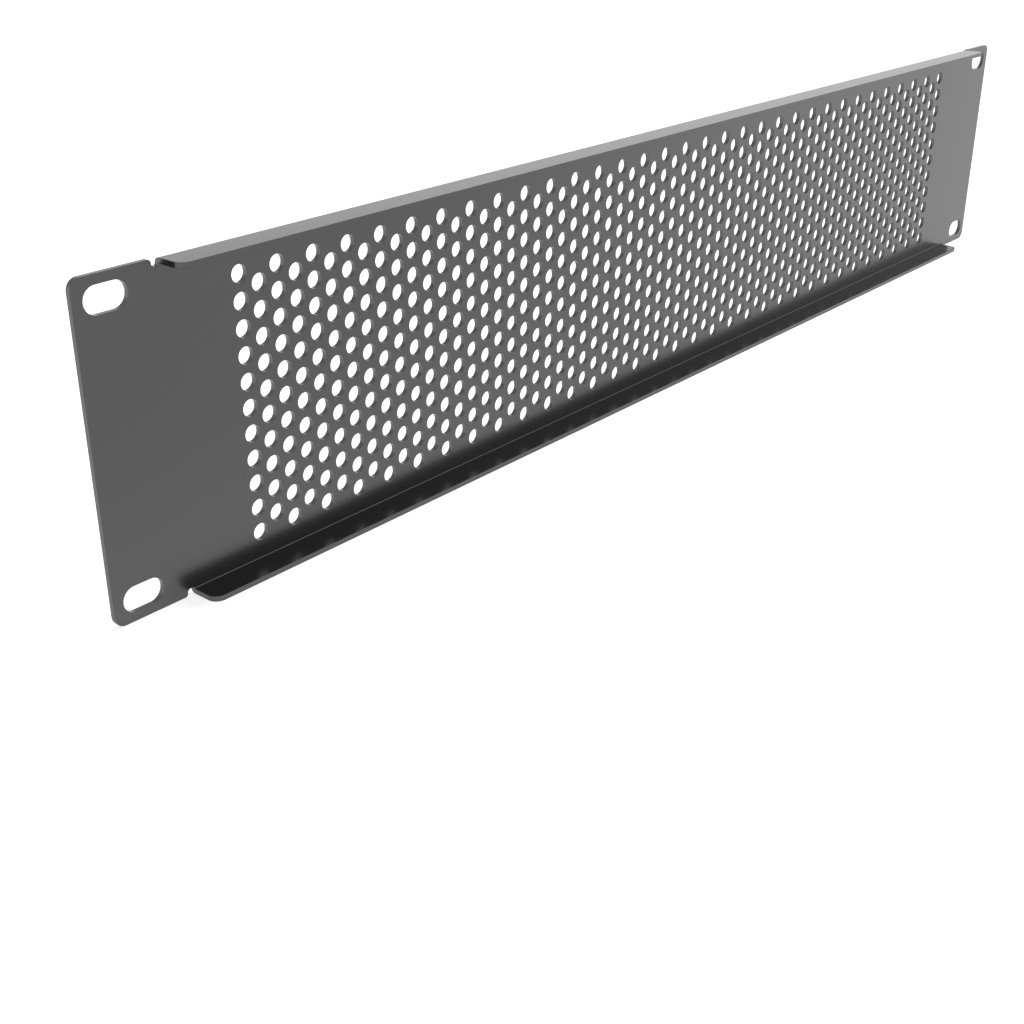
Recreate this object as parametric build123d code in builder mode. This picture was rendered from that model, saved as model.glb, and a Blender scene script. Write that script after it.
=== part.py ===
"""Vented blanking panel for a 19-inch rack, two units high, folded from one steel sheet.

+Z is up and the front faces -Y. The origin is the middle of the rear face, which meets the rack.
"""
import os
from math import floor, sqrt

from build123d import *

# Sheet and outline
panel_width = 482.0  # across both ears
panel_height = 88.0  # two rack units, less the gap to the next panel
panel_depth = 10.0  # front face to the free edges of the flanges
sheet = 1.5  # thickness of the steel
bend_radius = 0.25  # inside of both folds
flange_corner_radius = 3.0  # free corners of both flanges

# Ears, which stand beyond the flanges at both ends
ear_width = 22.0  # beside the notches
ear_corner_radius = 3.0  # outer corners

# Relief notch between each flange end and its ear
notch_width = 2.0
notch_depth = 2.0  # below the top face, and above the bottom one
notch_radius = 0.95  # corners of the ear beside the notch, inner and outer
notch_wall = 0.1  # least plain wall between those two corners

# Mounting slot near each corner of the panel
slot_length = 12.0
slot_width = 7.0
slot_from_end = 9.0  # slot centre to the ear's outer edge
slot_from_top = 6.0  # slot centre to the panel's top or bottom edge

# Staggered field of round vent holes, each one pitch from its six neighbours
hole_diameter = 4.75
hole_pitch = 7.0
plain_end = 20.0  # least width of plain web past the field, to each flange end
plain_edge = 6.0  # least height of plain web past the field, to the top and bottom faces

# Values that follow from those above
rear = panel_depth - sheet  # free edges of the flanges, behind the rear face at y = 0
half_height = panel_height / 2
outer_bend_radius = bend_radius + sheet
fold_line = half_height - outer_bend_radius  # where the web ends and the top fold starts
flange_length = panel_width - 2 * (ear_width + notch_width)
notch_spacing = flange_length + notch_width  # between the middles of the notches
notch_round = min(notch_radius, (notch_depth - notch_wall) / 2)
root_round = notch_depth - sheet  # from the notch's floor up to the flange's inner face
slot_spacing_x = panel_width - 2 * slot_from_end
slot_spacing_z = panel_height - 2 * slot_from_top
column_step = hole_pitch * sqrt(3)  # from one tall column to the next
field_width = flange_length - 2 * plain_end
field_height = panel_height - 2 * plain_edge
tall_columns = floor((field_width - hole_diameter) / column_step) + 1
holes_in_tall_column = floor((field_height - hole_diameter) / hole_pitch) + 1

with BuildPart() as panel:
    # Web and ears, cut back to the two fold lines as far as the middle of each notch
    with BuildSketch(Plane.XZ) as web:
        Rectangle(panel_width, panel_height)
        fillet(web.vertices(), ear_corner_radius)
        with GridLocations(0, panel_height, 1, 2):
            Rectangle(notch_spacing, 2 * outer_bend_radius, mode=Mode.SUBTRACT)
        with GridLocations(slot_spacing_x, slot_spacing_z, 2, 2):
            SlotOverall(slot_length, slot_width, mode=Mode.SUBTRACT)
    extrude(amount=sheet)

    # Top flange, folded back from the web's edge, and the bottom flange as its mirror image
    with BuildSketch(Plane.YZ) as flange_section:
        with BuildLine():
            outside = JernArc((-sheet, fold_line), (0, 1), outer_bend_radius, -90)
            Line(outside @ 1, (rear, half_height))
            offset(amount=sheet, side=Side.RIGHT)
        make_face()
    extrude(amount=notch_spacing / 2, both=True)
    mirror(about=Plane.XY)

    # Relief notches, cut through the web and the flange ends, with rounded corners
    with BuildSketch(Plane.XZ) as notches:
        with GridLocations(notch_spacing, panel_height, 2, 2):
            Rectangle(notch_width, 2 * notch_depth)
        columns = notches.vertices().group_by(Axis.X)
        fillet(columns[1] + columns[-2], root_round)
        columns = notches.vertices().group_by(Axis.X)
        fillet(columns[0] + columns[-1], notch_round)
    extrude(amount=panel_depth, both=True, mode=Mode.SUBTRACT)
    rows = panel.edges().filter_by(Axis.Y).group_by(Axis.Z)
    columns = (rows[0] + rows[-1]).group_by(Axis.X)
    fillet(columns[1] + columns[-2], notch_round)
    free_corners = panel.edges().filter_by(Axis.Z).group_by(Axis.Y)[-1]
    fillet(free_corners, flange_corner_radius)

    # Perforation: tall columns of holes, and between them columns with one hole less
    with Locations(Plane.XZ):
        with GridLocations(column_step, hole_pitch, tall_columns, holes_in_tall_column):
            Hole(hole_diameter / 2)
        with GridLocations(column_step, hole_pitch, tall_columns - 1, holes_in_tall_column - 1):
            Hole(hole_diameter / 2)

panel.part.label = "vented_panel"

os.makedirs("parts", exist_ok=True)
export_step(panel.part, "parts/vented_panel.step")
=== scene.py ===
from math import acos, copysign, cos, radians, sin, sqrt

import bmesh
import bpy
from mathutils import Matrix, Vector


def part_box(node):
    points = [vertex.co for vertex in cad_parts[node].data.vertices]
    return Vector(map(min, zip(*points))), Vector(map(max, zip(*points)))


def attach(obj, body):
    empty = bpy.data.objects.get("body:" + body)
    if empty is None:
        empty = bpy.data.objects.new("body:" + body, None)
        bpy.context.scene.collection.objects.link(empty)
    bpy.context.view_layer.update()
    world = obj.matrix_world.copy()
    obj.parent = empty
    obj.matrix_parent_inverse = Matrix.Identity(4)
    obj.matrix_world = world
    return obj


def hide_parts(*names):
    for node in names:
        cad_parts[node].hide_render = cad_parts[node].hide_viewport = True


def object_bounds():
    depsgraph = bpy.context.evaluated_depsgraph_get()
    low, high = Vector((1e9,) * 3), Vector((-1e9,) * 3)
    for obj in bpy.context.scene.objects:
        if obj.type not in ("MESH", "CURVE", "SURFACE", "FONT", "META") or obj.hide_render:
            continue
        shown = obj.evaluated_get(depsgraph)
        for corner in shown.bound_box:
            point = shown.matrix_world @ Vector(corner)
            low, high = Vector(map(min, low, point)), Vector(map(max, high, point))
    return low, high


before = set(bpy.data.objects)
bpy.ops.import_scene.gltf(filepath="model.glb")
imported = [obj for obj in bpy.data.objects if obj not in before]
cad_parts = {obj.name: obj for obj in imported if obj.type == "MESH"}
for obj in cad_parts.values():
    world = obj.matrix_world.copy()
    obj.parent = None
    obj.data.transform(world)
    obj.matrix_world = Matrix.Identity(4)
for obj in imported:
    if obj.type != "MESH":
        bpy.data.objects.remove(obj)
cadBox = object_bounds()
mm = 0.001
tiny = 0.001  # mm, closer than this is the same point
near = 0.01  # mm, closer than this is the same place
upright = Matrix.Rotation(radians(90), 4, "X")  # from the floor's plane to the web's


# Materials

def srgb(hexColour):
    # a hex colour as linear red, green, blue and alpha
    levels = [int(hexColour[i:i + 2], 16) / 255 for i in (1, 3, 5)]
    linear = [v / 12.92 if v <= 0.04045 else ((v + 0.055) / 1.055) ** 2.4 for v in levels]
    return (*linear, 1.0)


def addNode(tree, kind, settings=None, links=None):
    # settings are properties, or input values by name or number, and links are
    # input: (node, output)
    node = tree.nodes.new(kind)
    for name, value in (settings or {}).items():
        if isinstance(name, str) and hasattr(node, name):
            setattr(node, name, value)
        else:
            node.inputs[name].default_value = value
    for name, (source, output) in (links or {}).items():
        tree.links.new(source.outputs[output], node.inputs[name])
    return node


def emptyMaterial(name):
    material = bpy.data.materials.new(name)
    material.use_nodes = True
    material.node_tree.nodes.clear()
    return material, material.node_tree


# Dark grey metallic powder coat on steel: melted powder levels out to a satin skin with a faint
# orange peel, and the metal flake in it gives reflections the coat's own grey
powderCoat = {
    "colour": "#5c5c5c",
    "metallic": 1.0,
    "roughness": 0.26,
    "roughnessSpread": 0.04,  # more or less, from one flake to the next
    "peelSize": 0.9,  # mm, from one bump of the orange peel to the next
    "peelHeight": 0.002,  # mm
    "flakeSize": 0.25,  # mm, drawn coarser than real flake so that it shows
}


def makePowderCoat(spec):
    material, tree = emptyMaterial("powderCoatedSteel")
    place = addNode(tree, "ShaderNodeTexCoord")
    peel = addNode(tree, "ShaderNodeTexNoise",
                   {"Scale": 1 / (spec["peelSize"] * mm), "Detail": 2.0},
                   {"Vector": (place, "Object")})
    bump = addNode(tree, "ShaderNodeBump", {"Strength": 1.0, "Distance": spec["peelHeight"] * mm},
                   {"Height": (peel, "Fac")})
    flake = addNode(tree, "ShaderNodeTexNoise",
                    {"Scale": 1 / (spec["flakeSize"] * mm), "Detail": 1.0},
                    {"Vector": (place, "Object")})
    shine = addNode(tree, "ShaderNodeMapRange",
                    {"To Min": spec["roughness"] - spec["roughnessSpread"],
                     "To Max": spec["roughness"] + spec["roughnessSpread"]},
                    {"Value": (flake, "Fac")})
    coat = addNode(tree, "ShaderNodeBsdfPrincipled",
                   {"Base Color": srgb(spec["colour"]), "Metallic": spec["metallic"]},
                   {"Roughness": (shine, "Result"), "Normal": (bump, "Normal")})
    addNode(tree, "ShaderNodeOutputMaterial", None, {"Surface": (coat, "BSDF")})
    return material


coatMaterial = makePowderCoat(powderCoat)
print("material made")


# The panel, in millimetres: a flat blank is punched, its top and bottom strips are folded back,
# and every cut edge is softened as a coat softens it
lowest, highest = (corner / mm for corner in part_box("vented_panel"))
panel = {
    "halfWidth": highest.x,
    "halfHeight": highest.z,
    "flangeEdge": highest.y,  # free edges, behind the rear face at y = 0
    "sheet": -lowest.y,
    "bendRadius": 0.25,
    "bendSteps": 8,
    "flangeEnd": 217.0,
    "earWidth": 22.0,
    "earCorner": 3.0,
    "notchDepth": 2.0,
    "notchRound": 0.95,  # beside the ear
    "rootRound": 0.5,  # beside the flange, and partly in the fold
    "flangeCorner": 3.0,
    "slotLength": 12.0,
    "slotWidth": 7.0,
    "slotFromEnd": 9.0,
    "slotFromTop": 6.0,
    "holeDiameter": 4.75,
    "holePitch": 7.0,
    "tallColumns": 33,
    "tallHoles": 11,
    "holeSides": 28,
    "cornerSteps": 10,
    "notchSteps": 6,
    "slotRoundShare": 0.999,  # of half the slot's width, so that its four rounds don't meet
    "softEdge": 0.05,
    "sharpAngle": 30.0,  # degrees, from which an edge shows as an edge
    "skinTilt": 0.05,  # a normal's part below which a face counts as square to that axis
}
panel["foldLine"] = panel["halfHeight"] - panel["bendRadius"] - panel["sheet"]


def roundCorners(bm, corners, radius, steps):
    bmesh.ops.bevel(bm, geom=corners, offset=radius, offset_type="OFFSET", segments=steps,
                    profile=0.5, affect="VERTICES", material=-1)


def addBlank(bm, spec):
    # one quarter of the outline, with its corners rounded, mirrored twice
    foldLine = spec["foldLine"]
    notchEnd = spec["halfWidth"] - spec["earWidth"]
    notchFloor = spec["halfHeight"] - spec["notchDepth"]
    root = spec["rootRound"]
    outline = [(0, 0), (0, foldLine)]
    # the round between flange and notch, from the fold line down to the notch's floor
    for step in range(spec["notchSteps"] + 1):
        angle = acos(1 - (foldLine - notchFloor) / root) * (1 - step / spec["notchSteps"])
        outline.append((spec["flangeEnd"] + root * (1 - sin(angle)),
                        notchFloor + root * (1 - cos(angle))))
    outline += [(notchEnd, notchFloor), (notchEnd, spec["halfHeight"]),
                (spec["halfWidth"], spec["halfHeight"]), (spec["halfWidth"], 0)]
    verts = [bm.verts.new((x, 0, z)) for x, z in outline]
    bm.faces.new(verts)
    roundCorners(bm, verts[-4:-2], spec["notchRound"], spec["notchSteps"])
    corner = max(bm.verts, key=lambda v: v.co.x + v.co.z)
    roundCorners(bm, [corner], spec["earCorner"], spec["cornerSteps"])
    for axis in ("X", "Z"):
        bmesh.ops.mirror(bm, geom=bm.verts[:] + bm.edges[:] + bm.faces[:], matrix=Matrix(),
                         merge_dist=tiny, axis=axis)
    inner = [e for e in bm.edges if len(e.link_faces) == 2]
    bmesh.ops.dissolve_edges(bm, edges=inner, use_verts=True)


def addSlots(bm, spec):
    # each slot starts as a rectangle whose four corners are rounded by half its width
    x = spec["halfWidth"] - spec["slotFromEnd"]
    z = spec["halfHeight"] - spec["slotFromTop"]
    size = Matrix.Diagonal((spec["slotLength"] / 2, spec["slotWidth"] / 2, 1, 1))
    for centre in [(sideX * x, 0, sideZ * z) for sideX in (1, -1) for sideZ in (1, -1)]:
        place = Matrix.Translation(centre) @ upright @ size
        made = bmesh.ops.create_grid(bm, x_segments=1, y_segments=1, size=1, matrix=place)
        roundCorners(bm, made["verts"], spec["slotWidth"] / 2 * spec["slotRoundShare"],
                     spec["cornerSteps"])


def addHoles(bm, spec):
    # tall and short columns take turns, each one hole pitch from its six neighbours
    step = spec["holePitch"] * sqrt(3) / 2
    columns = 2 * spec["tallColumns"] - 1
    for column in range(columns):
        holes = spec["tallHoles"] - column % 2
        x = (column - (columns - 1) / 2) * step
        for row in range(holes):
            z = (row - (holes - 1) / 2) * spec["holePitch"]
            bmesh.ops.create_circle(bm, cap_ends=False, radius=spec["holeDiameter"] / 2,
                                    segments=spec["holeSides"],
                                    matrix=Matrix.Translation((x, 0, z)) @ upright)


def foldFlange(bm, spec, side):
    # side is 1 for the top flange and -1 for the bottom one
    foldLine = spec["foldLine"]
    # the strip is the blank's cut edge along the fold line
    middle = Vector((0, -spec["sheet"] / 2, side * foldLine))
    strip = [f for f in bm.faces if (f.calc_center_median() - middle).length < near]
    spun = bmesh.ops.spin(bm, geom=strip, cent=(0, spec["bendRadius"], side * foldLine),
                          axis=(1, 0, 0), angle=radians(-90 * side), steps=spec["bendSteps"],
                          use_duplicate=False)
    end = [f for f in spun["geom_last"] if isinstance(f, bmesh.types.BMFace)]
    made = bmesh.ops.extrude_face_region(bm, geom=end)
    moved = [v for v in made["geom"] if isinstance(v, bmesh.types.BMVert)]
    bmesh.ops.translate(bm, vec=(0, spec["flangeEdge"] - spec["bendRadius"], 0), verts=moved)
    bmesh.ops.delete(bm, geom=strip + end, context="FACES_ONLY")
    # past the fold line the rest of the notch's round draws both ends in to the flange's length
    top = spec["halfHeight"] - spec["notchDepth"] + spec["rootRound"]
    for vert in bm.verts:
        beyond = abs(vert.co.x) - spec["flangeEnd"]
        if side * vert.co.z > foldLine + tiny and 0 < beyond < spec["rootRound"]:
            below = max(top - side * vert.co.z, 0)
            x = spec["flangeEnd"] + spec["rootRound"] - sqrt(spec["rootRound"] ** 2 - below ** 2)
            vert.co.x = copysign(x, vert.co.x)
    # the flange's free corners are the short edges through its thickness
    corners = [e for e in bm.edges if all(v in moved for v in e.verts)
               and abs(e.verts[0].co.x - e.verts[1].co.x) < near]
    bmesh.ops.bevel(bm, geom=corners, offset=spec["flangeCorner"], offset_type="OFFSET",
                    segments=spec["cornerSteps"], profile=0.5, affect="EDGES", material=-1)


def isSkin(face, spec):
    # true on the sheet's two broad sides, and false on its cut edges and hole walls
    middle = face.calc_center_median()
    return (abs(face.normal.x) < spec["skinTilt"] and middle.y < spec["flangeEdge"] - near
            and (abs(face.normal.y) > spec["skinTilt"] or middle.y > 0))


def makePanel(spec, material):
    bm = bmesh.new()
    addBlank(bm, spec)
    addSlots(bm, spec)
    addHoles(bm, spec)
    bmesh.ops.delete(bm, geom=bm.faces[:], context="FACES_ONLY")
    bmesh.ops.triangle_fill(bm, use_beauty=True, use_dissolve=False, edges=bm.edges[:],
                            normal=(0, -1, 0))
    # the blank is thinner than the sheet by a soft edge on each side
    made = bmesh.ops.extrude_face_region(bm, geom=bm.faces[:], use_keep_orig=True)
    front = [v for v in made["geom"] if isinstance(v, bmesh.types.BMVert)]
    soft = spec["softEdge"]
    bmesh.ops.translate(bm, vec=(0, 2 * soft - spec["sheet"], 0), verts=front)
    bmesh.ops.translate(bm, vec=(0, -soft, 0), verts=bm.verts[:])
    bmesh.ops.recalc_face_normals(bm, faces=bm.faces[:])
    print("blank punched:", len(bm.faces), "faces")
    for side in (1, -1):
        foldFlange(bm, spec, side)
    bmesh.ops.recalc_face_normals(bm, faces=bm.faces[:])
    # its broad sides rise to the full thickness, and leave a soft slope along every edge
    skin = [f for f in bm.faces if isSkin(f, spec)]
    bmesh.ops.inset_region(bm, faces=skin, thickness=soft, depth=soft, use_boundary=True,
                           use_even_offset=True)
    openEdges = sum(not e.is_manifold for e in bm.edges)
    print("flanges folded:", len(bm.faces), "faces,", openEdges, "open edges")
    bmesh.ops.transform(bm, matrix=Matrix.Scale(mm, 4), verts=bm.verts[:])
    mesh = bpy.data.meshes.new("ventedPanel")
    bm.to_mesh(mesh)
    bm.free()
    mesh.shade_smooth()
    mesh.set_sharp_from_angle(angle=radians(spec["sharpAngle"]))
    mesh.materials.append(material)
    coated = bpy.data.objects.new("vented_panel_coated", mesh)
    bpy.context.scene.collection.objects.link(coated)
    weigh = coated.modifiers.new("flatFaces", "WEIGHTED_NORMAL")
    weigh.keep_sharp = True
    return coated


coatedPanel = makePanel(panel, coatMaterial)
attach(coatedPanel, "root")
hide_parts("vented_panel")
print("panel made")


# Studio: a pale floor, a soft lamp, and a white surround, which reflects brightest at the horizon
studio = {
    "floorSize": 60.0,  # m
    "floorColour": "#b4b4b4",
    "glowNear": 0.59,  # the floor's painted glow, dimmer within glowFrom of glowCentre
    "glowFar": 0.92,  # and brighter beyond glowReach: painted light that the panel reflects
    "glowCentre": (0.41, 0.99, 0.0),  # m
    "glowFrom": 0.92,  # m from that centre, where the glow starts to rise
    "glowReach": 1.074,  # m, where it ends
    "ambient": 0.45,  # the surround's strength as light on the floor
    "horizon": 1.45,  # its strength in reflections, low down
    "overhead": 0.74,  # and high up
    "fadeFrom": 0.1,  # sine of the elevation where the low light starts to fade
    "fadeTo": 0.46,  # and where only the high light is left
    "keyPower": 1.6,
    "keyAngle": 6.0,  # degrees, which softens the shadow
    "keyTilt": (0.0, -5.0),  # degrees, from straight down
}


def seenDirectly(tree):
    # 1 for camera, glossy and transmission rays, and 0 for the rest
    path = addNode(tree, "ShaderNodeLightPath")
    first = addNode(tree, "ShaderNodeMath", {"operation": "MAXIMUM"},
                    {0: (path, "Is Camera Ray"), 1: (path, "Is Glossy Ray")})
    return addNode(tree, "ShaderNodeMath", {"operation": "MAXIMUM"},
                   {0: (first, "Value"), 1: (path, "Is Transmission Ray")})


def makeFloor(spec):
    # a glow that shows but casts no light makes the floor white, and it still takes shadow
    material, tree = emptyMaterial("paleFloor")
    place = addNode(tree, "ShaderNodeTexCoord")
    away = addNode(tree, "ShaderNodeVectorMath", {"operation": "DISTANCE", 1: spec["glowCentre"]},
                   {0: (place, "Object")})
    # painted light: the glow rises with distance from glowCentre, and the panel reflects it
    level = addNode(tree, "ShaderNodeMapRange",
                    {"From Min": spec["glowFrom"], "From Max": spec["glowReach"],
                     "To Min": spec["glowNear"], "To Max": spec["glowFar"]},
                    {"Value": (away, "Value")})
    glow = addNode(tree, "ShaderNodeMath", {"operation": "MULTIPLY"},
                   {0: (level, "Result"), 1: (seenDirectly(tree), "Value")})
    lit = addNode(tree, "ShaderNodeBsdfDiffuse", {"Color": srgb(spec["floorColour"])})
    light = addNode(tree, "ShaderNodeEmission", None, {"Strength": (glow, "Value")})
    both = addNode(tree, "ShaderNodeAddShader", None, {0: (lit, "BSDF"), 1: (light, "Emission")})
    addNode(tree, "ShaderNodeOutputMaterial", None, {"Surface": (both, "Shader")})
    bm = bmesh.new()
    floorHeight = Matrix.Translation((0, 0, cadBox[0].z))
    bmesh.ops.create_grid(bm, x_segments=1, y_segments=1, size=spec["floorSize"] / 2,
                          matrix=floorHeight)
    mesh = bpy.data.meshes.new("floor")
    bm.to_mesh(mesh)
    bm.free()
    mesh.materials.append(material)
    floor = bpy.data.objects.new("floor", mesh)
    bpy.context.scene.collection.objects.link(floor)


def makeWorld(spec):
    world = bpy.data.worlds.new("studio")
    world.use_nodes = True
    tree = world.node_tree
    tree.nodes.clear()
    place = addNode(tree, "ShaderNodeTexCoord")
    axes = addNode(tree, "ShaderNodeSeparateXYZ", None, {"Vector": (place, "Generated")})
    level = addNode(tree, "ShaderNodeMapRange",
                    {"From Min": spec["fadeFrom"], "From Max": spec["fadeTo"],
                     "To Min": spec["horizon"], "To Max": spec["overhead"]},
                    {"Value": (axes, "Z")})
    reflected = addNode(tree, "ShaderNodeMapRange", {"To Min": spec["ambient"]},
                        {"Value": (seenDirectly(tree), "Value"), "To Max": (level, "Result")})
    path = addNode(tree, "ShaderNodeLightPath")
    strength = addNode(tree, "ShaderNodeMath", {"operation": "MAXIMUM"},
                       {0: (reflected, "Result"), 1: (path, "Is Camera Ray")})
    surround = addNode(tree, "ShaderNodeBackground", {"Color": (1, 1, 1, 1)},
                       {"Strength": (strength, "Value")})
    addNode(tree, "ShaderNodeOutputWorld", None, {"Surface": (surround, "Background")})
    bpy.context.scene.world = world


def makeKeyLight(spec):
    light = bpy.data.lights.new("keyLight", "SUN")
    light.energy = spec["keyPower"]
    light.angle = radians(spec["keyAngle"])
    lamp = bpy.data.objects.new("keyLight", light)
    lamp.rotation_euler = (*(radians(tilt) for tilt in spec["keyTilt"]), 0)
    bpy.context.scene.collection.objects.link(lamp)


makeFloor(studio)
makeWorld(studio)
makeKeyLight(studio)
print("studio made")


# Camera, at the photograph's viewing angle
camera = {
    "place": (408.0, 267.6, 133.2),  # mm
    "aim": (91.3, 0.0, -67.2),  # mm
    "lens": 50.0,  # mm
    "clip": (0.01, 100.0),  # m
}


def makeCamera(spec):
    data = bpy.data.cameras.new("camera")
    data.lens = spec["lens"]
    data.clip_start, data.clip_end = spec["clip"]
    viewer = bpy.data.objects.new("camera", data)
    place, aim = Vector(spec["place"]) * mm, Vector(spec["aim"]) * mm
    viewer.location = place
    viewer.rotation_euler = (aim - place).to_track_quat("-Z", "Y").to_euler()
    bpy.context.scene.collection.objects.link(viewer)
    bpy.context.scene.camera = viewer


makeCamera(camera)
bpy.context.scene.view_settings.view_transform = "Standard"
